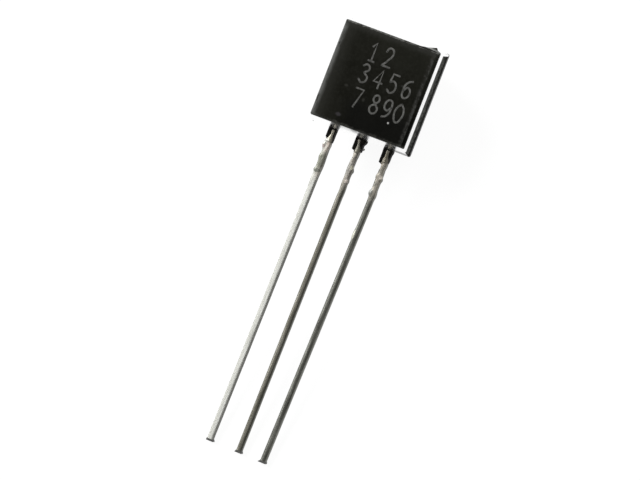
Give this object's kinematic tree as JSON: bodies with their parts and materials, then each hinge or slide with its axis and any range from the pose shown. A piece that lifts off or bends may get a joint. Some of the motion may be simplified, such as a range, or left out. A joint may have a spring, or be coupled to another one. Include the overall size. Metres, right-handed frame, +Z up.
{
  "type": "to-92 transistor",
  "caption": "Small-signal transistor in a black moulded package with a flat face, a half-round back and straight tinned leads in a row.",
  "frame": {"origin": "on the table under the middle of the part's bounding box, with the part lying on its round back, flat face up", "axes": "+X across the body, from the emitter lead to the collector lead; +Y along the leads towards the moulding, level with the table; +Z up from the table"},
  "size_m": [0.0046, 0.019, 0.0041],
  "materials": {
    "epoxy": "satin black moulding compound, polished on the side walls",
    "tinned_lead": "dull solder-dipped tin",
    "silicon": "polished silicon",
    "die_bond": "satin gold eutectic",
    "bond_wire": "bright gold"
  },
  "bodies": {
    "root": {"epoxy_body": "epoxy", "emitter_lead": "tinned_lead", "base_lead": "tinned_lead", "collector_lead": "tinned_lead", "transistor_die": "silicon", "die_attach": "die_bond", "emitter_wire": "bond_wire", "base_wire": "bond_wire"}
  },
  "joints": []
}
